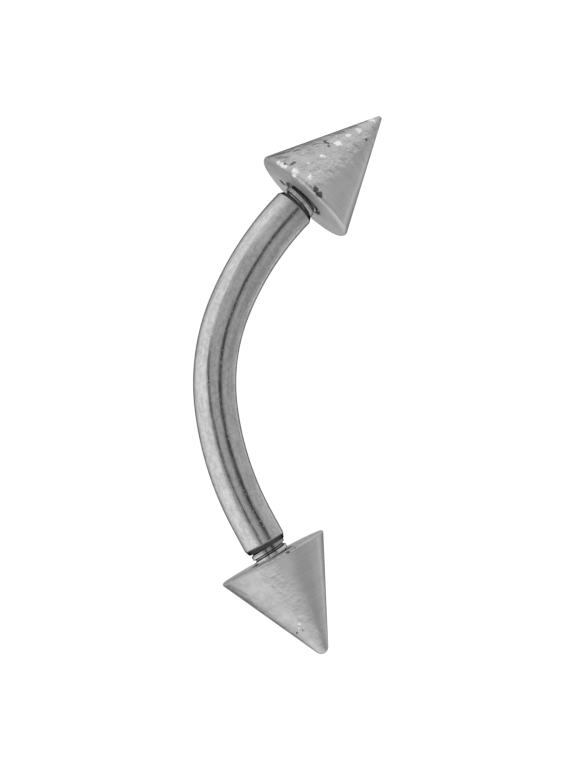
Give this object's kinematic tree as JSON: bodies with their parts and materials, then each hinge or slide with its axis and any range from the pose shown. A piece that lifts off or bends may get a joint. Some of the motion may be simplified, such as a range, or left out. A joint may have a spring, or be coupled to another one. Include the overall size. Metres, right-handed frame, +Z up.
{
  "type": "curved eyebrow barbell",
  "caption": "Curved bar worn through a brow piercing, with a screw-on cone spike on each threaded end.",
  "frame": {"origin": "bottom centre of the bounding box, on the surface that the barbell lies on", "axes": "+Z up; +X along the line from the upper spike to the lower spike; the belly of the bar is towards -Y and the tips of the spikes lean to +Y"},
  "size_m": [0.015, 0.0042, 0.0031],
  "materials": {
    "bar_steel": "polished surgical steel with faint polishing marks along the bar",
    "spike_steel": "turned and satin polished surgical steel"
  },
  "bodies": {
    "bar": {"bar": "bar_steel"},
    "upper_spike": {"upper_spike": "spike_steel"},
    "lower_spike": {"lower_spike": "spike_steel"}
  },
  "joints": [
    {"name": "upper_spike_off", "type": "slide", "parent": "bar", "child": "upper_spike", "axis": [-0.784, 0.56, 0.2678], "range_m": [0, 0.002]},
    {"name": "lower_spike_off", "type": "slide", "parent": "bar", "child": "lower_spike", "axis": [0.8287, 0.5017, 0.2481], "range_m": [0, 0.002]}
  ]
}
